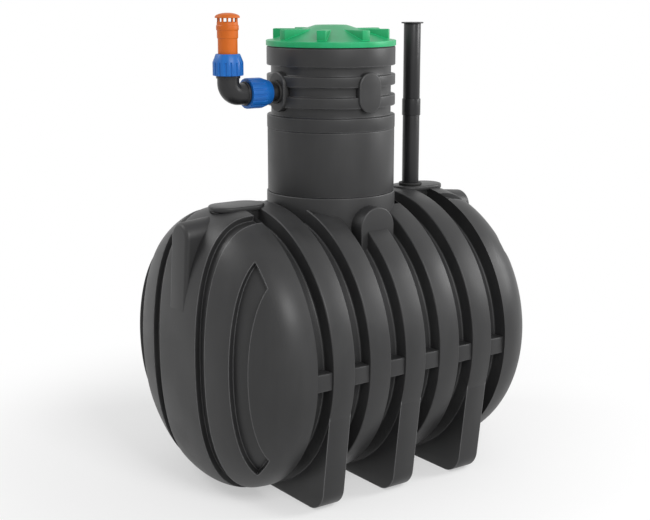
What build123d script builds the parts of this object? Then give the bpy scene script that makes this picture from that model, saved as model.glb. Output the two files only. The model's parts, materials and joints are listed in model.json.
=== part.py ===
from build123d import *
import os
from math import cos, radians, sin, sqrt

# A ribbed underground storage tank: a horizontal barrel with domed ends on three pairs of feet, a
# manway neck with a screwed lid, a side vent on a compression elbow and a riser pipe on the far pad.
# Sizes are in millimetres. The barrel lies along X, the neck stands over the origin, feet at Z zero.

# Barrel
RIB_RADIUS = 825.0
RIB_DEPTH = 87.0
RIB_PITCH = 250.0
RIB_WIDTH = 144.0
RIB_COUNT = 5
GROUND_CLEARANCE = 2.0
SHELL_WALL = 12.0
SEGMENT_COUNT = 8

# Domed ends
DOME_DEPTH = 400.0
DOME_RELIEF = 30.0
BAND_HALF_WIDTH = 170.0
BAND_GROOVE_WIDTH = 80.0
CRESCENT_Y = 480.0
CRESCENT_WIDTH = 95.0
CRESCENT_TOP_ANGLE = 40.0

# Ties that bridge the grooves at mid height
TIE_DROP = 32.0
TIE_HEIGHT = 100.0
TIE_INSET = 14.0

# Feet under every other rib
TOE_INSET = 125.0
TOE_CORNER_RADIUS = 85.0
FOOT_HEIGHT = 450.0
FOOT_HEEL_Y = 180.0

# Lifting lugs on the ends
LUG_HALF_WIDTH = 93.0
LUG_DROP = 47.0
LUG_SETBACK = 33.0
LUG_LENGTH = 345.0
LUG_SKIRT_RISE = 253.0

# Pads on top of the ends
PAD_OFFSET = 13.0
PAD_LENGTH = 340.0
PAD_WIDTH = 215.0
PAD_RISE = 10.0
PAD_PLATE = 14.0
PAD_LIP = 12.0

# Arched bosses beside the neck
ARCH_REACH = 86.0
ARCH_RADIUS = 117.0
ARCH_DROP = 11.0

# Manway neck
NECK_RADIUS = 371.0
NECK_WALL = 10.0
BASE_FLARE = 6.0
BASE_HEIGHT = 38.0
NECK_HEIGHT = 374.0
EXTENSION_HEIGHT = 471.0
EXTENSION_FLARE = 7.0
EXTENSION_FOOT = 79.0
WAIST_DEPTH = 25.0
RINGS = ((134.0, 63.0), (253.0, 61.0))
COLLAR_HEIGHT = 105.0

# Flat bosses round the neck
BOSS_PROUD = 10.0
BOSS_WIDTH = 152.0
BOSS_HEIGHT = 230.0
BOSS_RISE = 222.0

# Lid and its gasket
GASKET_THICKNESS = 5.0
GASKET_WIDTH = 29.0
GASKET_INSET = 6.0
LID_OVERHANG = 3.0
LID_RIM = 31.7
LID_RISE = 85.0
LID_CROWN_RADIUS = 95.0
LID_WALL = 8.0
LID_SHOULDER = 22.0
LID_SKIRT_GAP = 6.0
LID_SKIRT_DEPTH = 55.0
GRIP_COUNT = 8
GRIP_WIDTH = 55.0
GRIP_INSET = 39.0
GRIP_LENGTH = 192.0
GRIP_DROP = 21.0
LID_CLEARANCE = 0.3

# Vent: stub, nut, elbow, nut and pipe
PIPE_RADIUS = 55.0
PIPE_WALL = 5.0
STUB_LENGTH = 55.0
STUB_INSET = 30.0
NUT_RADIUS = 86.0
NUT_MOUTH_RADIUS = 68.0
NUT_GRIP_SHARE = 0.62
NUT_FLUTES = 16
FLUTE_RADIUS = 7.0
FLUTE_OFFSET = 2.8
LOWER_NUT_LENGTH = 148.0
UPPER_NUT_LENGTH = 119.0
ELBOW_WALL = 8.0
ELBOW_STEP = 7.0
ELBOW_COLLAR_STEP = 6.0
ELBOW_COLLAR = 16.0
ELBOW_BEND = 64.0
ELBOW_RUN = 115.0
ELBOW_RISE = 106.0
VENT_PIPE_LENGTH = 293.0
SOCKET_LENGTH = 91.0
SOCKET_STEP = 4.0
BEAD_LEVEL = 44.0
BEAD_HEIGHT = 32.0
BEAD_STEP = 4.0
VENT_POST_COUNT = 12
VENT_POST_WIDTH = 8.0
VENT_SLOT_HEIGHT = 22.0
CAP_HEIGHT = 28.0
CAP_ROUNDING = 22.4
CAP_RADIUS = 69.5
GROMMET_RADIUS = 68.0
GROMMET_THICKNESS = 14.0
GROMMET_SLEEVE = 6.0

# Riser pipe on the far pad
RISER_INSET = 51.0
RISER_RADIUS = 52.0
RISER_WALL = 4.0
RISER_LENGTH = 994.0
COUPLING_LEVEL = 435.0
COUPLING_HEIGHT = 101.0
COUPLING_STEP = 5.0
RISER_CAP_RADIUS = 67.5
RISER_CAP_THICKNESS = 8.0
RISER_GROMMET_RADIUS = 72.0
RISER_GROMMET_THICKNESS = 16.0

# Places that follow from the sizes
HALF_RIBS = RIB_COUNT // 2
GROOVE_WIDTH = RIB_PITCH - RIB_WIDTH
GROOVE_RADIUS = RIB_RADIUS - RIB_DEPTH
AXIS_HEIGHT = RIB_RADIUS + GROUND_CLEARANCE
BARREL_TOP = AXIS_HEIGHT + RIB_RADIUS
DOME_START_X = HALF_RIBS * RIB_PITCH + RIB_WIDTH / 2 + GROOVE_WIDTH
DOME_TIP_X = DOME_START_X + DOME_DEPTH
BASE_RADIUS = NECK_RADIUS + BASE_FLARE
EXTENSION_RADIUS = NECK_RADIUS + EXTENSION_FLARE
WAIST_RADIUS = EXTENSION_RADIUS - WAIST_DEPTH
BASE_TOP = BARREL_TOP + BASE_HEIGHT
NECK_TOP = BASE_TOP + NECK_HEIGHT
EXTENSION_TOP = NECK_TOP + EXTENSION_HEIGHT
BOSS_LEVEL = NECK_TOP + BOSS_RISE
BOSS_FACE = EXTENSION_RADIUS + BOSS_PROUD
GASKET_TOP = EXTENSION_TOP + GASKET_THICKNESS
LID_RADIUS = EXTENSION_RADIUS + LID_OVERHANG
LUG_TOP = BARREL_TOP - LUG_DROP
PAD_TOP = BARREL_TOP + PAD_RISE
PAD_CENTRE_X = DOME_START_X - PAD_OFFSET
ARCH_TOP = BARREL_TOP - ARCH_DROP
LOWER_NUT_X = (BOSS_FACE + STUB_LENGTH, BOSS_FACE + STUB_LENGTH + LOWER_NUT_LENGTH)
UPPER_NUT_Z = (BOSS_LEVEL + ELBOW_RISE, BOSS_LEVEL + ELBOW_RISE + UPPER_NUT_LENGTH)
ELBOW_AXIS_X = LOWER_NUT_X[1] + ELBOW_RUN
ELBOW_RADIUS = PIPE_RADIUS + ELBOW_STEP
VENT_PIPE_TOP = UPPER_NUT_Z[0] + VENT_PIPE_LENGTH
SOCKET_BOTTOM = VENT_PIPE_TOP - SOCKET_LENGTH
SOCKET_RADIUS = PIPE_RADIUS + SOCKET_STEP
CAP_RIM_Z = VENT_PIPE_TOP + VENT_SLOT_HEIGHT
RISER_X = PAD_CENTRE_X - RISER_INSET
RISER_TOP = PAD_TOP + RISER_LENGTH
COUPLING_Z = (PAD_TOP + COUPLING_LEVEL, PAD_TOP + COUPLING_LEVEL + COUPLING_HEIGHT)
REACH = 2000.0


def save(node, *shapes):
    """Write one node's STEP file from all the solids of its shapes."""
    solids = [solid for shape in shapes for solid in shape.solids()]
    export_step(solids[0] if len(solids) == 1 else Compound(children=solids), f"parts/{node}.step")


def upright(radius, bottom, top, x=0.0, y=0.0):
    """Solid cylinder that stands on a level."""
    return Pos(x, y, (bottom + top) / 2) * Cylinder(radius, top - bottom)


def upright_tube(radius, wall, bottom, top, x=0.0):
    """Pipe that stands on a level."""
    return upright(radius, bottom, top, x) - upright(radius - wall, bottom, top, x)


def along_x(radius, x0, x1, level, y=0.0):
    """Solid cylinder that lies along X."""
    return Pos((x0 + x1) / 2, y, level) * Rot(0, 90, 0) * Cylinder(radius, x1 - x0)


def block(x0, x1, y0, y1, z0, z1):
    """Box between two corners."""
    centre = Pos((x0 + x1) / 2, (y0 + y1) / 2, (z0 + z1) / 2)
    return centre * Box(x1 - x0, y1 - y0, z1 - z0)


def turned_about_axis(points):
    """Solid of revolution about the barrel's axis from points of X and radius."""
    face = make_face(Polyline(*points, close=True))
    return Pos(0, 0, AXIS_HEIGHT) * revolve(Plane.XZ * face, Axis.X, 360)


def ribbed_barrel(inset):
    """Barrel between the ends, with every face moved inwards by inset."""
    top = RIB_RADIUS - inset
    floor = GROOVE_RADIUS - inset
    half = RIB_WIDTH / 2 - inset
    points = [(-DOME_START_X, 0), (-DOME_START_X, floor)]
    for i in range(RIB_COUNT):
        x = (i - HALF_RIBS) * RIB_PITCH
        points += [(x - half, floor), (x - half, top), (x + half, top), (x + half, floor)]
    points += [(DOME_START_X, floor), (DOME_START_X, 0)]
    return turned_about_axis(points)


def dome(inset, side):
    """Half ellipsoid on one end of the barrel, moved inwards by inset."""
    start = side * DOME_START_X
    tip = side * (DOME_TIP_X - inset)
    radius = RIB_RADIUS - inset
    arc = EllipticalCenterArc((0, 0), DOME_DEPTH - inset, radius, 0, arc_size=90)
    face = make_face(arc.edges() + Polyline((0, radius), (0, 0), (DOME_DEPTH - inset, 0)).edges())
    bowl = revolve(Plane.XZ * face, Axis.X, 360)
    if side < 0:
        bowl = bowl.rotate(Axis.Z, 180)
    return Pos(start, 0, AXIS_HEIGHT) * bowl


def crescent(side, hand):
    """Crescent beside the dome's outer band, between two sloping ends."""
    rise = REACH * sin(radians(CRESCENT_TOP_ANGLE))
    run = REACH * cos(radians(CRESCENT_TOP_ANGLE))
    wedge = make_face(Polyline((0, 0), (run, rise), (REACH, 0), (run, -rise), close=True))
    cut = extrude(Plane.YZ * wedge, REACH) & block(0, REACH, CRESCENT_Y, CRESCENT_Y + CRESCENT_WIDTH, -REACH, REACH)
    if hand < 0:
        cut = mirror(cut, Plane.XZ)
    if side < 0:
        cut = mirror(cut, Plane.YZ)
    return Pos(0, 0, AXIS_HEIGHT) * cut


def banded_dome(side):
    """End dome with two upright grooves beside its middle band and a crescent step on each flank."""
    outer = dome(0, side)
    core = dome(DOME_RELIEF, side)
    skin = outer - core
    for hand in (-1, 1):
        low, high = sorted((hand * BAND_HALF_WIDTH, hand * (BAND_HALF_WIDTH + BAND_GROOVE_WIDTH)))
        skin -= block(-REACH, REACH, low, high, 0, REACH)
        skin -= crescent(side, hand)
    return skin + core


def wedge_segment(index):
    """Wedge that cuts one segment out of the barrel's round wall."""
    half = 180.0 / SEGMENT_COUNT
    middle = 360.0 / SEGMENT_COUNT * index - 90
    corners = [(0, 0)]
    for angle in (middle - half, middle, middle + half):
        corners.append((REACH * cos(radians(angle)), REACH * sin(radians(angle))))
    face = make_face(Polyline(*corners, close=True))
    wedge = extrude(Plane.YZ * face, 2 * REACH)
    return Pos(-REACH, 0, AXIS_HEIGHT) * wedge


def foot(x, hand):
    """Toe under one rib that fills the corner between the rib and the ground."""
    toe = hand * (RIB_RADIUS - TOE_INSET)
    heel = hand * FOOT_HEEL_Y
    flank = hand * sqrt(RIB_RADIUS**2 - (AXIS_HEIGHT - FOOT_HEIGHT) ** 2)
    line = FilletPolyline((heel, 0), (toe, 0), (flank, FOOT_HEIGHT), radius=TOE_CORNER_RADIUS)
    close = Polyline((flank, FOOT_HEIGHT), (heel, FOOT_HEIGHT), (heel, 0))
    face = make_face(line.edges() + close.edges())
    return Pos(x - RIB_WIDTH / 2, 0, 0) * extrude(Plane.YZ * face, RIB_WIDTH)


def lifting_lug(side):
    """Round-topped ridge that runs out from the pad to the end's face and drops down its front."""
    axis_level = LUG_TOP - LUG_HALF_WIDTH
    skirt_level = AXIS_HEIGHT + LUG_SKIRT_RISE
    sides = Polyline((-LUG_HALF_WIDTH, axis_level), (-LUG_HALF_WIDTH, skirt_level),
                     (LUG_HALF_WIDTH, skirt_level), (LUG_HALF_WIDTH, axis_level))
    crown = CenterArc((0, axis_level), LUG_HALF_WIDTH, 0, 180)
    section = make_face(sides.edges() + crown.edges())
    ridge = Pos(DOME_TIP_X - LUG_SETBACK - LUG_LENGTH, 0, 0) * extrude(Plane.YZ * section, LUG_LENGTH)
    return ridge if side > 0 else mirror(ridge, Plane.YZ)


def pad(side):
    """Flat stadium pad with a narrower base."""
    x = side * PAD_CENTRE_X
    plate = extrude(SlotOverall(PAD_LENGTH, PAD_WIDTH), PAD_PLATE)
    base = extrude(SlotOverall(PAD_LENGTH - 2 * PAD_LIP, PAD_WIDTH - 2 * PAD_LIP), PAD_TOP - AXIS_HEIGHT)
    return Pos(x, 0, PAD_TOP - PAD_PLATE) * plate + Pos(x, 0, AXIS_HEIGHT) * base


def arch(hand):
    """Arched boss that stands on the barrel beside the neck."""
    axis_level = ARCH_TOP - ARCH_RADIUS
    outline = Polyline(
        (-ARCH_RADIUS, axis_level), (-ARCH_RADIUS, AXIS_HEIGHT), (ARCH_RADIUS, AXIS_HEIGHT),
        (ARCH_RADIUS, axis_level),
    )
    top = CenterArc((0, axis_level), ARCH_RADIUS, 0, 180)
    face = make_face(outline.edges() + top.edges())
    boss = extrude(Plane.XZ * face, BASE_RADIUS + ARCH_REACH)
    return boss if hand < 0 else mirror(boss, Plane.XZ)


def extension_profile():
    """Outline of the ribbed neck extension, from its foot to its collar."""
    foot_top = NECK_TOP + EXTENSION_FOOT
    points = [(EXTENSION_RADIUS, NECK_TOP), (EXTENSION_RADIUS, foot_top), (WAIST_RADIUS, foot_top)]
    for level, height in RINGS:
        low, high = NECK_TOP + level, NECK_TOP + level + height
        points += [(WAIST_RADIUS, low), (EXTENSION_RADIUS, low)]
        points += [(EXTENSION_RADIUS, high), (WAIST_RADIUS, high)]
    collar = EXTENSION_TOP - COLLAR_HEIGHT
    points += [(WAIST_RADIUS, collar), (EXTENSION_RADIUS, collar), (EXTENSION_RADIUS, EXTENSION_TOP)]
    return points


def neck_extension():
    """Ribbed ring that carries the lid, bored through."""
    bore = WAIST_RADIUS - NECK_WALL
    points = extension_profile() + [(bore, EXTENSION_TOP), (bore, NECK_TOP)]
    return revolve(Plane.XZ * make_face(Polyline(*points, close=True)), Axis.Z, 360)


def neck_boss(angle):
    """Upright stadium boss with a flat face, on the neck extension."""
    slot = extrude(Plane.YZ * SlotOverall(BOSS_HEIGHT, BOSS_WIDTH, rotation=90), BOSS_FACE)
    return Pos(0, 0, BOSS_LEVEL) * (Rot(0, 0, angle) * slot)


def lid():
    """Domed lid with a rim, a skirt inside the neck and radial grips."""
    base = GASKET_TOP + LID_CLEARANCE
    rim = base + LID_RIM
    crown = rim + LID_RISE
    skirt = WAIST_RADIUS - NECK_WALL - LID_SKIRT_GAP
    skirt_end = base - LID_SKIRT_DEPTH
    inner = [(skirt - LID_WALL, skirt_end), (skirt - LID_WALL, rim - LID_WALL),
             (LID_CROWN_RADIUS, crown - LID_WALL), (0, crown - LID_WALL)]
    outline = [(0, crown), (LID_CROWN_RADIUS, crown), (LID_RADIUS - LID_SHOULDER, rim), (LID_RADIUS, rim),
               (LID_RADIUS, base), (skirt, base), (skirt, skirt_end)] + inner
    cover = revolve(Plane.XZ * make_face(Polyline(*outline, close=True)), Axis.Z, 360)
    hollow = revolve(Plane.XZ * make_face(Polyline((0, skirt_end), *inner, close=True)), Axis.Z, 360)
    tip = LID_RADIUS - GRIP_INSET
    grip = block(tip - GRIP_LENGTH, tip, -GRIP_WIDTH / 2, GRIP_WIDTH / 2, base, crown - GRIP_DROP) - hollow
    for i in range(GRIP_COUNT):
        cover += Rot(0, 0, 360 / GRIP_COUNT * i) * grip
    return cover


def fluted(body, flute):
    """Nut body with a ring of grooves for the grip."""
    for i in range(NUT_FLUTES):
        body -= Rot(0, 0, 360 / NUT_FLUTES * i) * flute
    return body


def nut(length, bore):
    """Compression nut along Z that tapers to its mouth at the top."""
    waist = length * NUT_GRIP_SHARE
    points = [(bore, 0), (NUT_RADIUS, 0), (NUT_RADIUS, waist), (NUT_MOUTH_RADIUS, length), (bore, length)]
    body = revolve(Plane.XZ * make_face(Polyline(*points, close=True)), Axis.Z, 360)
    flute = Pos(NUT_RADIUS + FLUTE_OFFSET, 0, waist / 2) * Cylinder(FLUTE_RADIUS, waist)
    return fluted(body, flute)


def elbow():
    """Right-angle fitting between the two nuts, with a collar at each mouth."""
    x0, x1 = -ELBOW_AXIS_X, -LOWER_NUT_X[1]
    z1 = UPPER_NUT_Z[0]
    path = FilletPolyline((x1, 0, BOSS_LEVEL), (x0, 0, BOSS_LEVEL), (x0, 0, z1), radius=ELBOW_BEND)
    start = Plane(origin=(x1, 0, BOSS_LEVEL), z_dir=(-1, 0, 0))
    outer = sweep(start * Circle(ELBOW_RADIUS), path)
    inner = sweep(start * Circle(ELBOW_RADIUS - ELBOW_WALL), path)
    collar = ELBOW_RADIUS + ELBOW_COLLAR_STEP
    outer += along_x(collar, x1 - ELBOW_COLLAR, x1, BOSS_LEVEL) + upright(collar, z1 - ELBOW_COLLAR, z1, x0)
    return outer - inner


def vent_pipe():
    """Pipe with a socket, a bead and a ring of posts under its cap."""
    x = -ELBOW_AXIS_X
    pipe = upright(PIPE_RADIUS, UPPER_NUT_Z[0], SOCKET_BOTTOM, x)
    pipe += upright(SOCKET_RADIUS, SOCKET_BOTTOM, VENT_PIPE_TOP, x)
    bead = SOCKET_BOTTOM + BEAD_LEVEL
    pipe += upright(SOCKET_RADIUS + BEAD_STEP, bead, bead + BEAD_HEIGHT, x)
    pipe -= upright(PIPE_RADIUS - PIPE_WALL, UPPER_NUT_Z[0], VENT_PIPE_TOP, x)
    for i in range(VENT_POST_COUNT):
        angle = 360 / VENT_POST_COUNT * i
        post = block(PIPE_RADIUS - PIPE_WALL, SOCKET_RADIUS, -VENT_POST_WIDTH / 2, VENT_POST_WIDTH / 2,
                     VENT_PIPE_TOP, CAP_RIM_Z)
        pipe += Pos(x, 0, 0) * (Rot(0, 0, angle) * post)
    return pipe


def vent_cap():
    """Mushroom cap over the vent's posts."""
    line = FilletPolyline((CAP_RADIUS, 0), (CAP_RADIUS, CAP_HEIGHT), (0, CAP_HEIGHT), radius=CAP_ROUNDING)
    face = make_face(line.edges() + Polyline((0, CAP_HEIGHT), (0, 0), (CAP_RADIUS, 0)).edges())
    return Pos(-ELBOW_AXIS_X, 0, CAP_RIM_Z) * revolve(Plane.XZ * face, Axis.Z, 360)


def save_barrel(manway, riser_hole):
    """Round wall in segments and the two ends."""
    names = ("bottom", "lower_back", "back", "upper_back", "top", "upper_front", "front", "lower_front")
    shell = ribbed_barrel(0) - ribbed_barrel(SHELL_WALL)
    for index, name in enumerate(names):
        piece = shell & wedge_segment(index)
        save(f"shell_{name}", piece - manway - riser_hole if name == "top" else piece - manway)
    for side, name in ((-1, "near"), (1, "far")):
        inner = dome(DOME_RELIEF + SHELL_WALL, side)
        save(f"end_dome_{name}", banded_dome(side) - inner)


def main():
    os.makedirs("parts", exist_ok=True)
    barrel = ribbed_barrel(0)
    domes = {-1: banded_dome(-1), 1: banded_dome(1)}
    neck_bore = upright(BASE_RADIUS - NECK_WALL, AXIS_HEIGHT, BASE_TOP)
    riser_hole = upright(RISER_RADIUS - RISER_WALL, AXIS_HEIGHT, PAD_TOP, RISER_X)
    save_barrel(neck_bore, riser_hole)

    for i, name in ((0, "near"), (HALF_RIBS, "middle"), (RIB_COUNT - 1, "far")):
        x = (i - HALF_RIBS) * RIB_PITCH
        save(f"feet_{name}", *[foot(x, hand) - barrel for hand in (-1, 1)])
    for hand, name in ((-1, "front"), (1, "back")):
        ties = []
        for i in range(RIB_COUNT + 1):
            x0 = (i - HALF_RIBS) * RIB_PITCH - RIB_WIDTH / 2 - GROOVE_WIDTH
            low, high = sorted((hand * (GROOVE_RADIUS - RIB_DEPTH), hand * (RIB_RADIUS - TIE_INSET)))
            bottom = AXIS_HEIGHT - TIE_DROP - TIE_HEIGHT / 2
            ties.append(block(x0, x0 + GROOVE_WIDTH, low, high, bottom, bottom + TIE_HEIGHT) - barrel)
        save(f"rib_ties_{name}", *ties)

    neck_core = upright(BASE_RADIUS, AXIS_HEIGHT, BASE_TOP)
    pads = {}
    for side, name in ((-1, "near"), (1, "far")):
        pads[side] = pad(side)
        body = pads[side] - barrel - domes[side] - neck_core
        if side > 0:
            body -= riser_hole
        save(f"pad_{name}", body)
        save(f"lifting_lug_{name}", lifting_lug(side) - domes[side] - pads[side] - barrel)
    for hand, name in ((-1, "front"), (1, "back")):
        save(f"arch_boss_{name}", arch(hand) - barrel - neck_core)

    save("neck_base", neck_core - neck_bore - barrel)
    save("neck_wall", upright_tube(NECK_RADIUS, NECK_WALL, BASE_TOP, NECK_TOP))
    ring = neck_extension()
    stub_hole = along_x(PIPE_RADIUS - PIPE_WALL + GROMMET_SLEEVE, -BOSS_FACE, 0, BOSS_LEVEL)
    save("neck_extension", ring - stub_hole)
    core = upright(WAIST_RADIUS - NECK_WALL, NECK_TOP, EXTENSION_TOP)
    for angle, name in ((180, "near"), (0, "far"), (-90, "front"), (90, "back")):
        boss = neck_boss(angle) - core - ring
        if name == "near":
            boss -= stub_hole
        save(f"neck_boss_{name}", boss)
    rim = EXTENSION_RADIUS - GASKET_INSET
    save("lid_gasket", upright_tube(rim, GASKET_WIDTH, EXTENSION_TOP, GASKET_TOP))
    save("lid", lid())

    hole = PIPE_RADIUS - PIPE_WALL
    grommet = along_x(GROMMET_RADIUS, -BOSS_FACE - GROMMET_THICKNESS, -BOSS_FACE, BOSS_LEVEL)
    grommet += along_x(hole + GROMMET_SLEEVE, -BOSS_FACE, -WAIST_RADIUS + NECK_WALL, BOSS_LEVEL)
    mouth = STUB_INSET - LOWER_NUT_X[1]
    stub = along_x(hole, mouth, -WAIST_RADIUS, BOSS_LEVEL)
    bore = along_x(hole - PIPE_WALL, mouth, -WAIST_RADIUS, BOSS_LEVEL)
    save("vent_grommet", grommet - stub)
    save("vent_stub", stub - bore)
    length = LOWER_NUT_X[1] - LOWER_NUT_X[0]
    lower = nut(length, hole)
    save("vent_nut_lower", Pos(-LOWER_NUT_X[1], 0, BOSS_LEVEL) * Rot(0, 90, 0) * lower)
    save("vent_elbow", elbow())
    upper = nut(UPPER_NUT_Z[1] - UPPER_NUT_Z[0], PIPE_RADIUS)
    save("vent_nut_upper", Pos(-ELBOW_AXIS_X, 0, UPPER_NUT_Z[0]) * upper)
    save("vent_pipe", vent_pipe())
    save("vent_cap", vent_cap())

    base = PAD_TOP + RISER_GROMMET_THICKNESS
    split = (COUPLING_Z[0] + COUPLING_Z[1]) / 2
    save("riser_grommet", upright(RISER_GROMMET_RADIUS, PAD_TOP, base, RISER_X)
         - upright(RISER_RADIUS, PAD_TOP, base, RISER_X))
    save("riser_pipe_lower", upright_tube(RISER_RADIUS, RISER_WALL, PAD_TOP, split, RISER_X))
    save("riser_coupling", upright_tube(RISER_RADIUS + COUPLING_STEP, COUPLING_STEP, *COUPLING_Z, RISER_X))
    save("riser_pipe_upper", upright_tube(RISER_RADIUS, RISER_WALL, split, RISER_TOP, RISER_X))
    save("riser_cap", upright(RISER_CAP_RADIUS, RISER_TOP, RISER_TOP + RISER_CAP_THICKNESS, RISER_X))


main()
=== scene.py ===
"""Looks of a ribbed underground storage tank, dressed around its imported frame.

Every length is in metres, in the frame's own axes: X along the barrel, Z up, feet at zero.
"""
import json
import logging
import math
from collections.abc import Callable, Sequence
from dataclasses import dataclass
from enum import Enum

import bmesh
import bpy
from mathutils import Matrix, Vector


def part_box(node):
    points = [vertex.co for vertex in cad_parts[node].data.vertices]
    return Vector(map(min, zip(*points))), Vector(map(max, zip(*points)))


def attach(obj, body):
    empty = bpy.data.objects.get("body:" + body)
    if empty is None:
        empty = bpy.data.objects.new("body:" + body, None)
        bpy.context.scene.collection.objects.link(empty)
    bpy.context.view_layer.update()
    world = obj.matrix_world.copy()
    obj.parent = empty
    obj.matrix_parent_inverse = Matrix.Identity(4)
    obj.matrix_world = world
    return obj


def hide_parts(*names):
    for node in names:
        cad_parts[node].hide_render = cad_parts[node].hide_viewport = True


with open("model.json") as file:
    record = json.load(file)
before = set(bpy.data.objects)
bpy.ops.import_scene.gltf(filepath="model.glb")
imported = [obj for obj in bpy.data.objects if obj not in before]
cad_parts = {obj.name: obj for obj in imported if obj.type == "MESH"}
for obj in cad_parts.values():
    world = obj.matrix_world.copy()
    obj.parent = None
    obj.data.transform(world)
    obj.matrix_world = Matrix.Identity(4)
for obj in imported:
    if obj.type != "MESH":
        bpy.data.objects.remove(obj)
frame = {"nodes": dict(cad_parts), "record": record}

LOG = logging.getLogger("tank")
TANK = "tank"
LID = "lid"
POLE = 0.00001

Point = tuple[float, float, float]
FaceTest = Callable[[Vector, Vector], bool]


class Slot(Enum):
    """Material slots of the record."""

    TANK = "tank_black"
    LID = "lid_green"
    NUT = "nut_blue"
    VENT = "vent_orange"
    PIPE = "pipe_black"
    SEAL = "seal_rubber"


class Side(Enum):
    """Which way along X a piece of the barrel lies."""

    NEAR = -1
    FAR = 1


class Hand(Enum):
    """Which long side of the barrel a piece lies on."""

    FRONT = -1
    BACK = 1


# Shader maths


class Signal:
    """A shader socket that takes part in Python expressions."""

    def __init__(self, graph: "Graph", socket: bpy.types.NodeSocket) -> None:
        """Wrap one output socket of a graph."""
        self.graph = graph
        self.socket = socket

    def _math(self, operation: str, *values: "Signal | float") -> "Signal":
        """Add a Math node on the given values."""
        sockets = dict(enumerate(values))
        return self.graph.node("ShaderNodeMath", {"operation": operation}, sockets)

    def __add__(self, other: "Signal | float") -> "Signal":
        """Sum."""
        return self._math("ADD", self, other)

    def __radd__(self, other: "Signal | float") -> "Signal":
        """Sum with a number on the left."""
        return self._math("ADD", other, self)

    def __sub__(self, other: "Signal | float") -> "Signal":
        """Difference."""
        return self._math("SUBTRACT", self, other)

    def __rsub__(self, other: "Signal | float") -> "Signal":
        """Difference with a number on the left."""
        return self._math("SUBTRACT", other, self)

    def __mul__(self, other: "Signal | float") -> "Signal":
        """Product."""
        return self._math("MULTIPLY", self, other)

    def __rmul__(self, other: "Signal | float") -> "Signal":
        """Product with a number on the left."""
        return self._math("MULTIPLY", other, self)

    def __truediv__(self, other: "Signal | float") -> "Signal":
        """Quotient."""
        return self._math("DIVIDE", self, other)

    def clamp(self) -> "Signal":
        """Keep the value between 0 and 1."""
        return self.graph.node("ShaderNodeClamp", {}, {"Value": self})

    def smooth(self, low: float, high: float) -> "Signal":
        """Ease from 0 to 1 as the value goes from low to high."""
        settings = {"interpolation_type": "SMOOTHSTEP"}
        sockets = {"Value": self, "From Min": low, "From Max": high}
        return self.graph.node("ShaderNodeMapRange", settings, sockets)


class Graph:
    """Node tree of one material or of the world."""

    def __init__(self, owner: bpy.types.Material | bpy.types.World, output: str = "ShaderNodeOutputMaterial") -> None:
        """Empty the owner's tree and give it its output."""
        self.owner = owner
        owner.use_nodes = True
        self.tree = owner.node_tree
        self.tree.nodes.clear()
        self.output = self.tree.nodes.new(output)

    def node(self, kind: str, settings: dict, sockets: dict, output: int | str = 0) -> Signal:
        """Add one node.

        Args:
            kind: The node's type.
            settings: Properties that are set before the sockets.
            sockets: Values or signals for the input sockets, by name or index.
            output: The output socket that is wanted.

        Returns:
            The output as a signal.
        """
        made = self.tree.nodes.new(kind)
        for key, value in settings.items():
            setattr(made, key, value)
        for key, value in sockets.items():
            if isinstance(value, Signal):
                self.tree.links.new(value.socket, made.inputs[key])
            else:
                made.inputs[key].default_value = value
        return Signal(self, made.outputs[output])

    def place(self) -> Signal:
        """Object coordinates, which are the frame's own metres."""
        return self.node("ShaderNodeTexCoord", {}, {}, "Object")

    def stretched(self, scale: Point) -> Signal:
        """Object coordinates with each axis scaled."""
        return self.node("ShaderNodeMapping", {}, {"Vector": self.place(), "Scale": scale})

    def noise(self, scale: float, detail: float = 3.0, vector: Signal | None = None) -> Signal:
        """Fractal noise between 0 and 1."""
        sockets = {"Vector": vector or self.place(), "Scale": scale, "Detail": detail}
        return self.node("ShaderNodeTexNoise", {}, sockets)

    def mix(self, factor: "Signal | float", low: Sequence[float] | Signal, high: Sequence[float] | Signal) -> Signal:
        """Mix two colours."""
        settings = {"data_type": "RGBA"}
        return self.node("ShaderNodeMix", settings, {0: factor, 6: low, 7: high}, 2)

    def edges(self, radius: float) -> Signal:
        """Mask of the convex and hollow edges within a radius."""
        rounded = self.node("ShaderNodeBevel", {"samples": 4}, {"Radius": radius})
        flat = self.node("ShaderNodeNewGeometry", {}, {}, "Normal")
        dot = self.node("ShaderNodeVectorMath", {"operation": "DOT_PRODUCT"}, {0: rounded, 1: flat}, "Value")
        return (1.0 - dot).smooth(0.004, 0.12)

    def bump(self, height: Signal, strength: float, distance: float) -> Signal:
        """Bump normal from a height."""
        return self.node("ShaderNodeBump", {}, {"Height": height, "Strength": strength, "Distance": distance})

    def plastic(self, **sockets: "Signal | float | Sequence[float]") -> Signal:
        """Surface shader with the given sockets."""
        named = {key.replace("_", " "): value for key, value in sockets.items()}
        return self.node("ShaderNodeBsdfPrincipled", {}, named)

    def seen(self) -> Signal:
        """One on the rays that look straight, by reflection or through glass, and zero on those that light."""
        kinds = ("Is Camera Ray", "Is Glossy Ray", "Is Transmission Ray")
        rays = [self.node("ShaderNodeLightPath", {}, {}, kind) for kind in kinds]
        return (rays[0] + rays[1] + rays[2]).clamp()

    def mix_shaders(self, factor: Signal, low: Signal, high: Signal) -> Signal:
        """Mix two shaders."""
        return self.node("ShaderNodeMixShader", {}, {0: factor, 1: low, 2: high})

    def close(self, shader: Signal) -> None:
        """Send a shader to the output."""
        self.tree.links.new(shader.socket, self.output.inputs["Surface"])


def grey(level: float) -> tuple[float, float, float, float]:
    """Neutral colour of one level."""
    return (level, level, level, 1.0)


# Finishes


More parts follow.
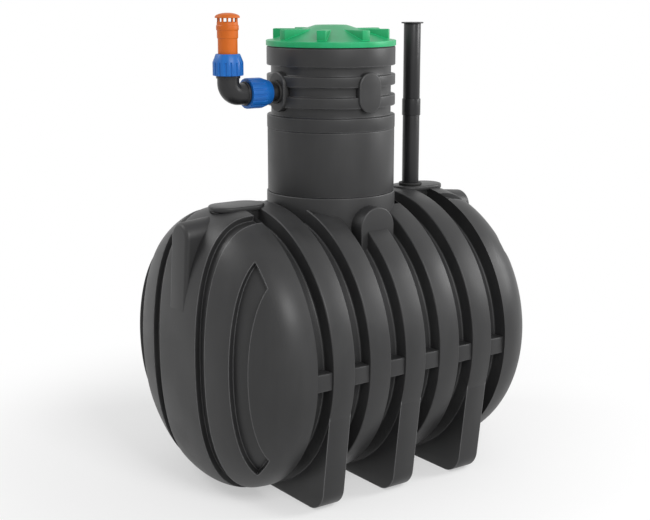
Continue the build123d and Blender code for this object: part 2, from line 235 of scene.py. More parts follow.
@dataclass(frozen=True)
class MouldedPlastic:
    """Rotomoulded or injected plastic with a soft skin, mottling, dust and a painted highlight along its edges."""

    name: str
    colour: tuple[float, float, float]
    lighter: tuple[float, float, float]
    # Gain of the painted edge highlight over the lighter colour.
    painted_edge_highlight_gain: float
    roughness: float
    peel: float
    grain_scale: float
    edge_radius: float

    def build(self) -> bpy.types.Material:
        """Make the material."""
        material = bpy.data.materials.new(self.name)
        graph = Graph(material)
        cloud = graph.noise(3.5, 4.0).smooth(0.35, 0.7)
        streak = graph.noise(5.0, 3.0, graph.stretched((2.2, 2.2, 0.35))).smooth(0.4, 0.75)
        grain = graph.noise(self.grain_scale, 2.0)
        speck = graph.noise(self.grain_scale * 4.0, 1.0)
        edge = graph.edges(self.edge_radius)
        tone = (cloud * 0.55 + streak * 0.45).clamp()
        base = graph.mix(tone, (*self.colour, 1.0), (*self.lighter, 1.0))
        # Painted highlight: the edge mask lightens the colour along the convex and hollow edges, standing in for light
        # caught by their rounding.
        lit = tuple(min(1.0, level * self.painted_edge_highlight_gain) for level in self.lighter)
        colour = graph.mix(edge * 0.8, base, (*lit, 1.0))
        rough = (self.roughness + (cloud - 0.5) * 0.10 + (speck - 0.5) * 0.12 - edge * 0.08).clamp()
        normal = graph.bump(grain * 0.7 + speck * 0.3, self.peel, 0.0012)
        graph.close(graph.plastic(Base_Color=colour, Roughness=rough, Normal=normal, Specular_IOR_Level=0.35))
        return material


# The fourth number of each finish sets the painted edge highlight.
FINISHES = {
    Slot.TANK: MouldedPlastic("moulded_tank_skin", (0.020, 0.020, 0.0205), (0.028, 0.028, 0.0285), 6.0, 0.45, 0.20,
                              150.0, 0.010),
    Slot.LID: MouldedPlastic("green_lid_plastic", (0.006, 0.29, 0.10), (0.012, 0.37, 0.145), 1.7, 0.42, 0.12,
                             220.0, 0.006),
    Slot.NUT: MouldedPlastic("blue_nut_plastic", (0.004, 0.095, 0.36), (0.007, 0.145, 0.50), 1.7, 0.38, 0.10,
                             300.0, 0.003),
    Slot.VENT: MouldedPlastic("orange_pipe_plastic", (0.50, 0.100, 0.003), (0.62, 0.135, 0.006), 1.35, 0.46, 0.08,
                              300.0, 0.002),
    Slot.PIPE: MouldedPlastic("black_pipe_plastic", (0.012, 0.012, 0.013), (0.018, 0.018, 0.019), 3.5, 0.34, 0.06,
                              300.0, 0.003),
    Slot.SEAL: MouldedPlastic("seal_rubber", (0.010, 0.010, 0.010), (0.016, 0.016, 0.016), 1.5, 0.6, 0.2,
                              400.0, 0.002),
}


# Modelling tools


def leave_edit() -> None:
    """Return to object mode."""
    if bpy.context.object and bpy.context.object.mode != "OBJECT":
        bpy.ops.object.mode_set(mode="OBJECT")


def take(piece: bpy.types.Object) -> bpy.types.Object:
    """Select one object alone and make it active."""
    leave_edit()
    bpy.ops.object.select_all(action="DESELECT")
    piece.select_set(True)
    bpy.context.view_layer.objects.active = piece
    return piece


def clear() -> None:
    """Deselect every object before a primitive is added."""
    leave_edit()
    bpy.ops.object.select_all(action="DESELECT")


def named(name: str) -> bpy.types.Object:
    """Name the primitive that was just added."""
    piece = bpy.context.object
    piece.name = name
    piece.data.name = name
    return piece


def settle(piece: bpy.types.Object) -> None:
    """Put the object's place, turn and scale into its mesh."""
    take(piece)
    bpy.ops.object.transform_apply(location=True, rotation=True, scale=True)


def pick_faces(piece: bpy.types.Object, test: FaceTest) -> int:
    """Select the faces whose centre and normal pass a test, in edit mode.

    Args:
        piece: The mesh object.
        test: Takes a face's centre and normal.

    Returns:
        How many faces were selected.
    """
    take(piece)
    bpy.ops.object.mode_set(mode="EDIT")
    bpy.ops.mesh.select_mode(type="FACE")
    bpy.ops.mesh.select_all(action="DESELECT")
    shape = bmesh.from_edit_mesh(piece.data)
    shape.faces.ensure_lookup_table()
    count = 0
    for face in shape.faces:
        if test(face.calc_center_median(), face.normal):
            face.select_set(True)
            count += 1
    bmesh.update_edit_mesh(piece.data)
    return count


def pick_edges(piece: bpy.types.Object, test: Callable[[Vector, Vector], bool]) -> None:
    """Select the edges whose two ends pass a test, in edit mode."""
    take(piece)
    bpy.ops.object.mode_set(mode="EDIT")
    bpy.ops.mesh.select_mode(type="EDGE")
    bpy.ops.mesh.select_all(action="DESELECT")
    shape = bmesh.from_edit_mesh(piece.data)
    for edge in shape.edges:
        if test(edge.verts[0].co, edge.verts[1].co):
            edge.select_set(True)
    bmesh.update_edit_mesh(piece.data)


def cut(piece: bpy.types.Object, at: Point, normal: Point, drop: bool = False) -> None:
    """Bisect a whole mesh by a plane, and drop what lies beyond it if asked."""
    take(piece)
    bpy.ops.object.mode_set(mode="EDIT")
    bpy.ops.mesh.select_all(action="SELECT")
    bpy.ops.mesh.bisect(plane_co=at, plane_no=normal, clear_outer=drop, use_fill=drop)
    bpy.ops.object.mode_set(mode="OBJECT")


def push_in(depth: float) -> None:
    """Extrude the selected faces along their normals, inwards for a negative depth."""
    bpy.ops.mesh.extrude_region_shrink_fatten(
        TRANSFORM_OT_shrink_fatten={"value": depth, "use_even_offset": True}
    )


def heal(piece: bpy.types.Object) -> None:
    """Merge doubles and turn every face outwards."""
    take(piece)
    bpy.ops.object.mode_set(mode="EDIT")
    bpy.ops.mesh.select_all(action="SELECT")
    bpy.ops.mesh.remove_doubles(threshold=0.00005)
    bpy.ops.mesh.normals_make_consistent(inside=False)
    bpy.ops.object.mode_set(mode="OBJECT")


def modify(piece: bpy.types.Object, kind: str, **settings: object) -> None:
    """Add one modifier, set it and apply it."""
    take(piece)
    made = piece.modifiers.new(kind.lower(), kind)
    for key, value in settings.items():
        setattr(made, key, value)
    bpy.ops.object.modifier_apply(modifier=made.name)


def round_edges(piece: bpy.types.Object, width: float, angle: float = 32.0, segments: int = 3) -> None:
    """Round every edge sharper than an angle, then smooth the faces between them."""
    modify(piece, "BEVEL", width=width, segments=segments, limit_method="ANGLE",
           angle_limit=math.radians(angle), use_clamp_overlap=True, harden_normals=False)
    smooth(piece, angle)


def smooth(piece: bpy.types.Object, angle: float = 32.0) -> None:
    """Shade smooth across edges flatter than an angle."""
    take(piece)
    bpy.ops.object.shade_smooth_by_angle(angle=math.radians(angle))


def lathe(name: str, profile: Sequence[tuple[float, float]], segments: int, closed: bool = False) -> bpy.types.Object:
    """Turn a profile about Z by extruding and scaling one ring after another.

    Args:
        name: The piece's name.
        profile: Radius and height of each ring, from the first to the last.
        segments: Sides of each ring.
        closed: Whether the last ring joins the first again, as round a wall.

    Returns:
        The turned piece.
    """
    clear()
    radius, height = max(profile[0][0], POLE), profile[0][1]
    bpy.ops.mesh.primitive_circle_add(vertices=segments, radius=radius, location=(0, 0, height),
                                      fill_type="NOTHING")
    piece = named(name)
    settle(piece)
    bpy.ops.object.mode_set(mode="EDIT")
    bpy.ops.mesh.select_mode(type="EDGE")
    bpy.ops.mesh.select_all(action="SELECT")
    rings = list(profile[1:]) + ([profile[0]] if closed else [])
    for next_radius, next_height in rings:
        rise = next_height - height
        bpy.ops.mesh.extrude_region_move(TRANSFORM_OT_translate={"value": (0, 0, rise)})
        next_radius = max(next_radius, POLE)
        grow = next_radius / radius
        bpy.ops.transform.resize(value=(grow, grow, 1), center_override=(0, 0, next_height))
        radius, height = next_radius, next_height
    bpy.ops.object.mode_set(mode="OBJECT")
    heal(piece)
    return piece


def lay_along_x(piece: bpy.types.Object, at: Point, turn: int = 1) -> None:
    """Turn a piece made about Z so that its +Z points along X, or back along it, and move it."""
    take(piece)
    piece.rotation_euler = (0, turn * math.pi / 2, 0)
    piece.location = at
    settle(piece)


def box(name: str, low: Point, high: Point) -> bpy.types.Object:
    """Cube primitive between two corners."""
    clear()
    centre = [(a + b) / 2 for a, b in zip(low, high)]
    bpy.ops.mesh.primitive_cube_add(size=1, location=centre)
    piece = named(name)
    piece.scale = [b - a for a, b in zip(low, high)]
    settle(piece)
    return piece


def stadium(name: str, length: float, width: float, height: float, segments: int = 48) -> bpy.types.Object:
    """Upright prism with half-round ends, long side along X, base at Z zero."""
    clear()
    bpy.ops.mesh.primitive_cylinder_add(vertices=segments, radius=width / 2, depth=height,
                                        location=(0, 0, height / 2))
    piece = named(name)
    settle(piece)
    cut(piece, (0, 0, 0), (1, 0, 0))
    shift = (length - width) / 2
    for vertex in piece.data.vertices:
        if abs(vertex.co.x) > 1e-6:
            vertex.co.x += math.copysign(shift, vertex.co.x)
    return piece


def subtract(piece: bpy.types.Object, tool: bpy.types.Object) -> None:
    """Cut one closed mesh out of another and delete the tool."""
    modify(piece, "BOOLEAN", operation="DIFFERENCE", object=tool, solver="EXACT")
    bpy.data.objects.remove(tool, do_unlink=True)


def join(first: bpy.types.Object, others: Sequence[bpy.types.Object]) -> bpy.types.Object:
    """Join meshes into the first one."""
    take(first)
    for other in others:
        other.select_set(True)
    bpy.ops.object.join()
    return first


def dress(piece: bpy.types.Object, slot: Slot, body: str, *nodes: str) -> None:
    """Give a finished piece its material, its body and the nodes that it stands for."""
    piece.data.materials.clear()
    piece.data.materials.append(MATERIALS[slot])
    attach(piece, body)
    if nodes:
        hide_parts(*nodes)
    LOG.info("%s: %d faces", piece.name, len(piece.data.polygons))


MATERIALS: dict[Slot, bpy.types.Material] = {}


# The barrel and what is moulded onto it


@dataclass
class Barrel:
    """Ribbed round wall of the tank."""

    axis: float = 0.827
    rib_radius: float = 0.825
    groove_radius: float = 0.738
    pitch: float = 0.250
    rib_width: float = 0.144
    ribs: int = 5
    wall: float = 0.012
    draft: float = 0.004
    edge: float = 0.009
    segments: int = 192

    @property
    def end_x(self) -> float:
        """Where the ends begin."""
        return self.ribs // 2 * self.pitch + self.rib_width / 2 + self.pitch - self.rib_width

    def rib_x(self) -> list[float]:
        """Middle of each rib."""
        return [(i - self.ribs // 2) * self.pitch for i in range(self.ribs)]

    def profile(self) -> list[tuple[float, float]]:
        """Radius and place of the outer skin from the near end to the far end."""
        points = [(self.rib_radius, -self.end_x), (self.groove_radius, -self.end_x + self.draft)]
        half = self.rib_width / 2
        for x in self.rib_x():
            points += [(self.groove_radius, x - half - self.draft), (self.rib_radius, x - half)]
            points += [(self.rib_radius, x + half), (self.groove_radius, x + half + self.draft)]
        points += [(self.groove_radius, self.end_x - self.draft), (self.rib_radius, self.end_x)]
        return points

    def build(self) -> None:
        """Make the ribbed skin with its opening under the neck."""
        skin = lathe("barrel_skin", self.profile(), self.segments)
        lay_along_x(skin, (0, 0, self.axis))
        round_edges(skin, self.edge, 40)
        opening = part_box("neck_base")[1][0] - self.wall
        pick_faces(skin, lambda at, _: math.hypot(at.x, at.y) < opening and at.z > self.axis)
        bpy.ops.mesh.delete(type="FACE")
        leave_edit()
        names = ("bottom", "lower_back", "back", "upper_back", "top", "upper_front", "front", "lower_front")
        dress(skin, Slot.TANK, TANK, *[f"shell_{name}" for name in names])


@dataclass
class EndDome:
    """Domed end with a groove on each side of its middle band and a crescent recess on each flank."""

    barrel: Barrel
    side: Side
    depth: float = 0.400
    fullness: float = 2.5
    band_y: float = 0.203
    groove_width: float = 0.087
    crescent_y: float = 0.490
    crescent_width: float = 0.122
    crescent_end: float = 0.780
    relief: float = 0.034
    draft: float = 0.006
    edge: float = 0.010
    rings: int = 56
    segments: int = 192

    def profile(self) -> list[tuple[float, float]]:
        """Radius and reach of the dome from its rim to its tip, with a ring at the crescents' ends."""
        power = 2 / self.fullness
        angles = [math.pi / 2 * i / self.rings for i in range(self.rings)]
        reach = self.barrel.rib_radius
        end = math.acos((self.crescent_end / reach) ** (1 / power))
        angles = sorted([*angles, end])
        points = [(reach * math.cos(a) ** power, self.depth * math.sin(a) ** power) for a in angles]
        return points + [(0, self.depth)]

    def build(self) -> None:
        """Turn the dome, cut its bands and push them in."""
        barrel, turn = self.barrel, self.side.value
        name = "end_dome_" + self.side.name.lower()
        dome = lathe(name + "_skin", self.profile(), self.segments)
        lay_along_x(dome, (0, 0, 0), turn)
        crescent = (self.crescent_y, self.crescent_y + self.crescent_width)
        band = (self.band_y, self.band_y + self.groove_width)
        for y in (*band, *crescent):
            cut(dome, (0, y, 0), (0, 1, 0))
            cut(dome, (0, -y, 0), (0, 1, 0))
        pick_faces(dome, lambda at, _: band[0] < abs(at.y) < band[1])
        push_in(-self.relief)
        pick_faces(dome, lambda at, _: crescent[0] < abs(at.y) < crescent[1]
                   and math.hypot(at.y, at.z) < self.crescent_end)
        push_in(-self.relief)
        leave_edit()
        dome.location = (turn * barrel.end_x, 0, barrel.axis)
        settle(dome)
        heal(dome)
        round_edges(dome, self.edge, 30)
        dress(dome, Slot.TANK, TANK, name)


@dataclass
class Foot:
    """Pair of toes under one rib."""

    barrel: Barrel
    x: float
    name: str
    toe_y: float = 0.708
    corner: float = 0.115
    top: float = 0.560
    heel: float = 0.180
    tuck: float = 0.040
    edge: float = 0.008

    def toe(self, hand: Hand) -> bpy.types.Object:
        """One toe, from the heel under the barrel to the rib's flank."""
        barrel, sign = self.barrel, hand.value
        half = barrel.rib_width / 2
        flank = math.sqrt(barrel.rib_radius**2 - (barrel.axis - self.top) ** 2)
        low_y, high_y = sorted((sign * self.heel, sign * (flank + 0.05)))
        toe = box(f"toe_{hand.name.lower()}", (self.x - half, low_y, 0), (self.x + half, high_y, self.top + self.tuck))
        run = flank - self.toe_y
        cut(toe, (0, sign * self.toe_y, 0), (0, sign * self.top, -run), drop=True)
        pick_edges(toe, lambda a, b: a.z < 1e-4 and b.z < 1e-4 and min(abs(a.y), abs(b.y)) > self.toe_y - 0.01)
        bpy.ops.mesh.bevel(offset=self.corner, segments=10, affect="EDGES")
        leave_edit()
        clear()
        bpy.ops.mesh.primitive_cylinder_add(vertices=256, radius=barrel.rib_radius - 0.004, depth=1,
                                            location=(self.x, 0, barrel.axis), rotation=(0, math.pi / 2, 0))
        tool = named("rib_tool")
        settle(tool)
        subtract(toe, tool)
        return toe

    def build(self) -> None:
        """Make both toes as one piece."""
        feet = join(self.toe(Hand.FRONT), [self.toe(Hand.BACK)])
        feet.name = f"{self.name}_skin"
        round_edges(feet, self.edge, 40)
        dress(feet, Slot.TANK, TANK, self.name)


@dataclass
class RibTies:
    """Bridges across the grooves on one long side."""

    barrel: Barrel
    hand: Hand
    level: float = 0.795
    height: float = 0.100
    inset: float = 0.014
    edge: float = 0.008

    def build(self) -> None:
        """Make one tie and repeat it along the barrel."""
        barrel, sign = self.barrel, self.hand.value
        half = (barrel.pitch - barrel.rib_width) / 2
        ties = []
        for i in range(barrel.ribs + 1):
            x = (i - barrel.ribs / 2) * barrel.pitch
            low_y, high_y = sorted((sign * (barrel.groove_radius - 0.01), sign * (barrel.rib_radius - self.inset)))
            low = (x - half - 0.002, low_y, self.level - self.height / 2)
            high = (x + half + 0.002, high_y, self.level + self.height / 2)
            ties.append(box(f"tie_{i}", low, high))
        row = join(ties[0], ties[1:])
        name = "rib_ties_" + self.hand.name.lower()
        row.name = name + "_skin"
        round_edges(row, self.edge, 40)
        dress(row, Slot.TANK, TANK, name)


@dataclass
class Pad:
    """Flat stadium pad on top of one end, with an overhanging rim."""

    side: Side
    lip: float = 0.014
    plate: float = 0.030
    edge: float = 0.009

    def build(self) -> None:
        """Make the plate and its narrower base."""
        name = "pad_" + self.side.name.lower()
        low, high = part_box(name)
        length, width, x = high[0] - low[0], high[1] - low[1], (low[0] + high[0]) / 2
        plate = stadium(name + "_plate", length, width, self.plate, 64)
        plate.location = (x, 0, high[2] - self.plate)
        settle(plate)
        round_edges(plate, self.edge, 40)
        depth = high[2] - low[2]
        base = stadium(name + "_base", length - 2 * self.lip, width - 2 * self.lip, depth, 64)
        base.location = (x, 0, low[2] - self.plate / 2)
        settle(base)
        pad = join(plate, [base])
        pad.name = name + "_skin"
        smooth(pad, 40)
        dress(pad, Slot.TANK, TANK, name)


@dataclass
class LiftingLug:
    """Round-topped ridge that drops down the middle band of an end with a sloping face."""

    barrel: Barrel
    side: Side
    half_width: float = 0.090
    top: float = 1.590
    root_x: float = 0.700
    skirt: float = 1.080
    slope: float = 0.024
    rise: float = 0.10
    nose: float = 0.024

    def build(self) -> None:
        """Make the ridge from a block with a sloping face and a rounded top."""
        name = "lifting_lug_" + self.side.name.lower()
        low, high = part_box(name)
        turn, half = self.side.value, self.half_width
        face = max(abs(low[0]), abs(high[0]))
        x0, x1 = sorted((turn * self.root_x, turn * (face + self.slope)))
        ridge = box(name + "_skin", (x0, -half, self.skirt), (x1, half, self.top))
        drop = self.top - half - self.skirt
        cut(ridge, (turn * face, 0, self.top - half), (turn * drop, 0, self.slope), drop=True)
        crown = self.top - 1e-4
        pick_edges(ridge, lambda a, b: a.z > crown and b.z > crown and abs(a.y - b.y) < 1e-6)
        bpy.ops.mesh.bevel(offset=half * 0.99, segments=20, affect="EDGES")
        round_edges(ridge, self.nose, 50, 5)
        for vertex in ridge.data.vertices:
            vertex.co.z += self.rise * max(0.0, face - abs(vertex.co.x))
        dress(ridge, Slot.TANK, TANK, name)


@dataclass
class ArchBoss:
    """Arched boss with a flat face beside the neck."""

    barrel: Barrel
    hand: Hand
    edge: float = 0.008

    def build(self) -> None:
        """Make the boss from a block with a rounded top."""
        name = "arch_boss_" + self.hand.name.lower()
        low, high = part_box(name)
        sign = self.hand.value
        face = max(abs(low[1]), abs(high[1]))
        y0, y1 = sorted((sign * 0.25, sign * face))
        radius = (high[0] - low[0]) / 2
        boss = box(name + "_skin", (low[0], y0, low[2]), (high[0], y1, high[2]))
        crown = high[2] - 1e-4
        pick_edges(boss, lambda a, b: a.z > crown and b.z > crown and abs(a.x - b.x) < 1e-6)
        bpy.ops.mesh.bevel(offset=radius * 0.99, segments=20, affect="EDGES")
        round_edges(boss, self.edge, 50)
        dress(boss, Slot.TANK, TANK, name)


# The neck


@dataclass
class Neck:
    """Manway neck: base collar, smooth wall and ribbed extension with four flat bosses."""

    wall: float = 0.010
    swell: float = 0.005
    waist: float = 0.353
    foot_top: float = 2.143
    collar_bottom: float = 2.430
    rings: tuple[tuple[float, float], ...] = ((2.198, 2.261), (2.317, 2.378))
    edge: float = 0.005
    boss_edge: float = 0.008
    segments: int = 192

    def tube(self, node: str, profile: Sequence[tuple[float, float]], edge: float) -> None:
        """Turn one part of the neck about Z and dress it."""
        piece = lathe(node + "_skin", profile, self.segments, closed=True)
        round_edges(piece, edge, 40)
        dress(piece, Slot.TANK, TANK, node)

    def build(self) -> None:
        """Make the three turned parts and the bosses."""
        for node in ("neck_base", "neck_wall"):
            low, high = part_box(node)
            radius = high[0] + self.swell
            outline = [(radius, low[2]), (radius, high[2]), (radius - self.wall, high[2]),
                       (radius - self.wall, low[2])]
            self.tube(node, outline, self.edge)
        low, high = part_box("neck_extension")
        radius, bore = high[0], self.waist - self.wall
        outline = [(radius, low[2]), (radius, self.foot_top), (self.waist, self.foot_top)]
        for bottom, top in self.rings:
            outline += [(self.waist, bottom), (radius, bottom), (radius, top), (self.waist, top)]
        outline += [(self.waist, self.collar_bottom), (radius, self.collar_bottom), (radius, high[2])]
        outline += [(bore, high[2]), (bore, low[2])]
        self.tube("neck_extension", outline, self.edge)
        for turn, word in ((180, "near"), (0, "far"), (-90, "front"), (90, "back")):
            self.boss(turn, word)

    def boss(self, turn: float, word: str) -> None:
        """One flat stadium boss, made facing +X and turned about Z."""
        node = "neck_boss_" + word
        low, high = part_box(node)
        height = high[2] - low[2]
        width = max(high[0] - low[0], high[1] - low[1])
        face = max(abs(value) for value in (*low[:2], *high[:2]))
        root = self.waist - self.wall / 2
        slab = stadium(node + "_skin", height, width, face - root, 64)
        lay_along_x(slab, (root, 0, (low[2] + high[2]) / 2))
        slab.rotation_euler = (0, 0, math.radians(turn))
        settle(slab)
        round_edges(slab, self.boss_edge, 50)
        dress(slab, Slot.TANK, TANK, node)


@dataclass
class ScrewLid:
    """Green screw lid with a rim, a domed top and radial grips."""

    crown_radius: float = 0.095
    rim_height: float = 0.032
    shoulder: float = 0.022
    grips: int = 8
    grip_width: float = 0.055
    grip_inner: float = 0.110
    grip_outer: float = 0.342
    grip_top: float = 2.636
    skirt: float = 0.337
    wall: float = 0.008
    edge: float = 0.006
    segments: int = 192

    def build(self) -> None:
        """Make the cover, then one grip and its copies."""
        low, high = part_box("lid")
        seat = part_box("lid_gasket")[1][2] + 0.0003
        radius, crown = high[0], high[2]
        rim = seat + self.rim_height
        skirt, inner = self.skirt, self.skirt - self.wall
        outline = [(0, crown), (self.crown_radius, crown), (radius - self.shoulder, rim), (radius, rim),
                   (radius, seat), (skirt, seat), (skirt, low[2]), (inner, low[2]), (inner, rim - self.wall),
                   (self.crown_radius, crown - self.wall), (0, crown - self.wall)]
        cover = lathe("lid_skin", outline, self.segments)
        round_edges(cover, self.edge, 20)
        grips = []
        for i in range(self.grips):
            grip = box(f"grip_{i}", (self.grip_inner, -self.grip_width / 2, rim - self.wall),
                       (self.grip_outer, self.grip_width / 2, self.grip_top))
            round_edges(grip, self.edge, 40)
            grip.rotation_euler = (0, 0, math.tau / self.grips * i)
            settle(grip)
            grips.append(grip)
        cover = join(cover, grips)
        dress(cover, Slot.LID, LID, "lid")


# The vent and the riser


def ring(node: str, slot: Slot, profile: Sequence[tuple[float, float]], at: tuple[float, float], edge: float,
         segments: int = 96) -> bpy.types.Object:
    """Turn an upright ring or pipe about Z at a place on the ground, and dress it.

    Args:
        node: The node that it stands for.
        slot: Its material slot.
        profile: Radius and level of each corner round its wall.
        at: X and Y of its axis.
        edge: How far its edges are rounded.
        segments: Sides of each ring.

    Returns:
        The finished ring.
    """
    piece = lathe(node + "_skin", profile, segments, closed=True)
    piece.location = (*at, 0)
    settle(piece)
    round_edges(piece, edge, 40)
    dress(piece, slot, TANK, node)
    return piece


def tube_profile(radius: float, wall: float, bottom: float, top: float) -> list[tuple[float, float]]:
    """Wall of a plain pipe."""
    return [(radius, bottom), (radius, top), (radius - wall, top), (radius - wall, bottom)]


@dataclass
class Nut:
    """Compression nut that tapers to its mouth, with grip flutes."""

    node: str
    bore: float
    taper_from: float = 0.62
    mouth: float = 0.068
    flutes: int = 16
    flute_depth: float = 0.006
    facets: int = 8
    edge: float = 0.0025

    def build(self, axis: Point, along_x: bool) -> None:
        """Make the nut about Z and lay it in place.

        Args:
            axis: A point on its axis at its wide end.
            along_x: Whether it lies along +X and doesn't stand.
        """
        low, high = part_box(self.node)
        length = high[0] - low[0] if along_x else high[2] - low[2]
        radius = (high[1] - low[1]) / 2
        waist = length * self.taper_from
        outline = [(self.bore, 0), (radius, 0), (radius, waist), (self.mouth, length), (self.bore, length)]
        nut = lathe(self.node + "_skin", outline, self.flutes * self.facets, closed=True)
        step = math.tau / self.flutes

        def in_flute(at: Vector, normal: Vector) -> bool:
            """Whether a face of the grip lies in a flute."""
            share = math.atan2(at.y, at.x) % step / step
            return abs(normal.z) < 0.1 and math.hypot(at.x, at.y) > self.mouth and share < 2.5 / self.facets

        pick_faces(nut, in_flute)
        push_in(-self.flute_depth)
        leave_edit()
        heal(nut)
        round_edges(nut, self.edge, 30)
        if along_x:
            lay_along_x(nut, axis)
        else:
            nut.location = axis
            settle(nut)
        dress(nut, Slot.NUT, TANK, self.node)


@dataclass
class Vent:
    """Side vent: stub, nut, elbow, nut and the orange pipe with its cap."""

    level: float = 2.286
    axis_x: float = -0.706
    pipe: float = 0.055
    wall: float = 0.005
    elbow_radius: float = 0.062
    elbow_bend: float = 0.064
    collar: float = 0.068
    collar_width: float = 0.016
    socket: float = 0.059
    socket_bottom: float = 2.594
    bead: float = 0.063
    bead_levels: tuple[float, float] = (2.638, 2.670)
    pipe_top: float = 2.685
    posts: int = 12
    post_width: float = 0.008
    edge: float = 0.002
    segments: int = 96

    def build(self) -> None:
        """Make every piece of the vent."""
        low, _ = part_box("vent_nut_lower")
        Nut("vent_nut_lower", self.pipe - self.wall).build((low[0], 0, self.level), True)
        low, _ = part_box("vent_nut_upper")
        Nut("vent_nut_upper", self.pipe).build((self.axis_x, 0, low[2]), False)
        self.stub()
        self.elbow()
        self.outlet()
        self.cap()

    def stub(self) -> None:
        """Short pipe through the neck's boss and the grommet round it."""
        radius = self.pipe - self.wall
        low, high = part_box("vent_stub")
        stub = lathe("vent_stub_skin", tube_profile(radius, self.wall, 0, high[0] - low[0]), self.segments, True)
        lay_along_x(stub, (low[0], 0, self.level))
        smooth(stub)
        dress(stub, Slot.PIPE, TANK, "vent_stub")
        low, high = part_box("vent_grommet")
        flange, face = (high[1] - low[1]) / 2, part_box("neck_boss_near")[0][0] - low[0]
        sleeve, length = radius + 0.006, high[0] - low[0]
        outline = [(radius, 0), (flange, 0), (flange, face), (sleeve, face), (sleeve, length), (radius, length)]
        grommet = lathe("vent_grommet_skin", outline, self.segments, True)
        lay_along_x(grommet, (low[0], 0, self.level))
        round_edges(grommet, self.edge * 2, 40)
        dress(grommet, Slot.SEAL, TANK, "vent_grommet")

    def elbow(self) -> None:
        """Bent pipe between the two nuts, with a collar at each mouth."""
        low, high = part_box("vent_elbow")
        clear()
        bpy.ops.mesh.primitive_circle_add(vertices=self.segments, radius=self.elbow_radius, fill_type="NOTHING",
                                          location=(high[0], 0, self.level), rotation=(0, math.pi / 2, 0))
        elbow = named("vent_elbow_skin")
        settle(elbow)
        bpy.ops.object.mode_set(mode="EDIT")
        bpy.ops.mesh.select_all(action="SELECT")
        run = self.axis_x + self.elbow_bend - high[0]
        bpy.ops.mesh.extrude_region_move(TRANSFORM_OT_translate={"value": (run, 0, 0)})
        centre = (self.axis_x + self.elbow_bend, 0, self.level + self.elbow_bend)
        bpy.ops.mesh.spin(steps=16, angle=-math.pi / 2, center=centre, axis=(0, 1, 0))
        rise = high[2] - centre[2]
        bpy.ops.mesh.extrude_region_move(TRANSFORM_OT_translate={"value": (0, 0, rise)})
        leave_edit()
        heal(elbow)
        modify(elbow, "SOLIDIFY", thickness=self.wall, offset=-1)
        smooth(elbow)
        collars = [lathe(f"collar_{i}", tube_profile(self.collar, self.wall * 2, 0, self.collar_width),
                         self.segments, True) for i in range(2)]
        lay_along_x(collars[0], (high[0] - self.collar_width, 0, self.level))
        collars[1].location = (self.axis_x, 0, high[2] - self.collar_width)
        settle(collars[1])
        for collar in collars:
            round_edges(collar, self.edge, 40)
        dress(join(elbow, collars), Slot.PIPE, TANK, "vent_elbow")

    def outlet(self) -> None:
        """Orange pipe with its socket, its bead and the posts under the cap."""
        low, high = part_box("vent_pipe")
        bore, bottom, top = self.pipe - self.wall, self.socket_bottom, self.pipe_top
        bead_low, bead_high = self.bead_levels
        outline = [(self.pipe, low[2]), (self.pipe, bottom), (self.socket, bottom + self.wall),
                   (self.socket, bead_low), (self.bead, bead_low + self.wall), (self.bead, bead_high - self.wall),
                   (self.socket, bead_high), (self.socket, top), (bore, top), (bore, low[2])]
        pipe = lathe("vent_pipe_skin", outline, self.segments, closed=True)
        round_edges(pipe, self.edge, 20)
        posts = []
        for i in range(self.posts):
            post = box(f"post_{i}", (bore, -self.post_width / 2, top - self.wall),
                       (self.socket - self.edge, self.post_width / 2, high[2]))
            post.rotation_euler = (0, 0, math.tau / self.posts * i)
            settle(post)
            posts.append(post)
        pipe = join(pipe, posts)
        pipe.location = (self.axis_x, 0, 0)
        settle(pipe)
        dress(pipe, Slot.VENT, TANK, "vent_pipe")

    def cap(self) -> None:
        """Mushroom cap on the posts."""
        low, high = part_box("vent_cap")
        radius, rise = (high[0] - low[0]) / 2, high[2] - low[2]
        arcs = [math.pi / 2 * i / 10 for i in range(10)]
        crown = [(radius * math.cos(a), low[2] + self.wall + (rise - self.wall) * math.sin(a)) for a in arcs]
        outline = [(0, low[2]), (radius, low[2]), *crown, (0, high[2])]
        cap = lathe("vent_cap_skin", outline, self.segments)
        cap.location = (self.axis_x, 0, 0)
        settle(cap)
        round_edges(cap, self.edge, 40)
        dress(cap, Slot.VENT, TANK, "vent_cap")


@dataclass
class Riser:
    """Black riser pipe on the far pad: grommet, two lengths, coupling and cap."""

    wall: float = 0.004
    edge: float = 0.002
    cap_edge: float = 0.004

    def build(self) -> None:
        """Make every piece of the riser."""
        low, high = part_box("riser_pipe_lower")
        at, radius = ((low[0] + high[0]) / 2, 0.0), (high[0] - low[0]) / 2
        for node in ("riser_pipe_lower", "riser_pipe_upper"):
            low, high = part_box(node)
            ring(node, Slot.PIPE, tube_profile(radius, self.wall, low[2], high[2]), at, self.edge / 2)
        low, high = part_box("riser_grommet")
        outer = (high[0] - low[0]) / 2
        ring("riser_grommet", Slot.SEAL, tube_profile(outer, outer - radius, low[2], high[2]), at, self.cap_edge)
        low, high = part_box("riser_coupling")
        outer = (high[0] - low[0]) / 2
        ring("riser_coupling", Slot.PIPE, tube_profile(outer, outer - radius, low[2], high[2]), at, self.edge)
        low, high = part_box("riser_cap")
        outer = (high[0] - low[0]) / 2
        cap = lathe("riser_cap_skin", [(0, low[2]), (outer, low[2]), (outer, high[2]), (0, high[2])], 96)
        cap.location = (*at, 0)
        settle(cap)
        round_edges(cap, self.edge, 40)
        dress(cap, Slot.PIPE, TANK, "riser_cap")


@dataclass
class Gasket:
    """Flat seal between the neck and its lid."""

    width: float = 0.029
    edge: float = 0.001

    def build(self) -> None:
        """Make the ring."""
        low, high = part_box("lid_gasket")
        ring("lid_gasket", Slot.SEAL, tube_profile(high[0], self.width, low[2], high[2]), (0, 0), self.edge, 160)


# The studio


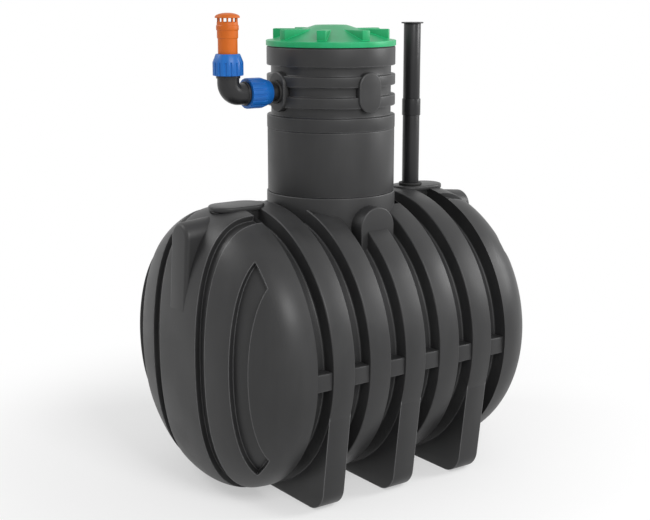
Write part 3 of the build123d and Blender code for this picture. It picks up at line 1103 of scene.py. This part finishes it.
@dataclass
class Studio:
    """Pale floor, soft lamps and the camera."""

    floor_size: float = 60.0
    sky_light: float = 0.5
    shadow_reach: float = 3.2
    shadow_share: float = 0.55
    camera_at: Point = (-4.4431, -6.1482, 2.8801)
    look_at: Point = (-0.043, 0.0, 1.258)
    lens: float = 70.79

    def lamp(self, name: str, at: Point, power: float, size: float) -> None:
        """One square area lamp that points at the tank."""
        clear()
        bpy.ops.object.light_add(type="AREA", location=at)
        lamp = bpy.context.object
        lamp.name = name
        lamp.data.energy = power
        lamp.data.size = size
        aim = Vector((0, 0, 1.2)) - Vector(at)
        lamp.rotation_euler = aim.to_track_quat("-Z", "Y").to_euler()

    def build_world(self, scene: bpy.types.Scene) -> None:
        """Even light all round that looks white behind the tank."""
        scene.world = bpy.data.worlds.new("studio")
        graph = Graph(scene.world, "ShaderNodeOutputWorld")
        light = graph.node("ShaderNodeBackground", {}, {"Color": grey(1.0), "Strength": self.sky_light})
        white = graph.node("ShaderNodeBackground", {}, {"Color": grey(1.0), "Strength": 1.0})
        graph.close(graph.mix_shaders(graph.seen(), light, white))

    def build(self) -> None:
        """Set the stage."""
        scene = bpy.context.scene
        scene.view_settings.view_transform = "Standard"
        self.build_world(scene)
        clear()
        bpy.ops.mesh.primitive_plane_add(size=self.floor_size, location=(0, 0, 0))
        floor = named("studio_floor")
        floor.data.materials.append(self.floor_material())
        self.lamp("key_lamp", (-1.0, -7.0, 6.0), 330, 3.0)
        self.lamp("side_lamp", (6.0, -3.5, 4.0), 240, 2.5)
        self.lamp("rim_lamp", (-4.5, 3.5, 6.0), 120, 2.5)
        bpy.ops.object.camera_add(location=self.camera_at)
        camera = bpy.context.object
        camera.name = "photo_camera"
        aim = Vector(self.look_at) - Vector(self.camera_at)
        camera.rotation_euler = aim.to_track_quat("-Z", "Y").to_euler()
        camera.data.lens = self.lens
        camera.data.sensor_width = 36.0
        camera.data.clip_end = 200.0
        scene.camera = camera

    def floor_material(self) -> bpy.types.Material:
        """White floor that keeps the tank's shadow and fades to plain white away from it."""
        material = bpy.data.materials.new("studio_floor_white")
        graph = Graph(material)
        distance = graph.node("ShaderNodeVectorMath", {"operation": "LENGTH"}, {0: graph.place()}, "Value")
        near = 1.0 - distance.smooth(self.shadow_reach / 2, self.shadow_reach)
        share = graph.seen() * (1.0 - near * self.shadow_share)
        lit = graph.plastic(Base_Color=grey(0.93), Roughness=0.9)
        white = graph.node("ShaderNodeEmission", {}, {"Color": grey(1.0), "Strength": 1.0})
        graph.close(graph.mix_shaders(share, lit, white))
        return material


def dress_rest() -> None:
    """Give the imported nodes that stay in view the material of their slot."""
    for entry in frame["record"]["subparts"]:
        node = frame["nodes"][entry["node"]]
        node.data.materials.clear()
        node.data.materials.append(MATERIALS[Slot(entry["material_slot"])])


def main() -> None:
    """Build, dress and light the tank."""
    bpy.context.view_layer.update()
    logging.basicConfig(level=logging.INFO, format="%(name)s %(message)s")
    for slot, finish in FINISHES.items():
        MATERIALS[slot] = finish.build()
    barrel = Barrel()
    barrel.build()
    for side in Side:
        EndDome(barrel, side).build()
    for x, name in zip(barrel.rib_x()[::2], ("feet_near", "feet_middle", "feet_far")):
        Foot(barrel, x, name).build()
    for hand in Hand:
        RibTies(barrel, hand).build()
        ArchBoss(barrel, hand).build()
    for side in Side:
        Pad(side).build()
        LiftingLug(barrel, side).build()
    Neck().build()
    Gasket().build()
    ScrewLid().build()
    Vent().build()
    Riser().build()
    dress_rest()
    Studio().build()


if __name__ == "__main__":
    main()
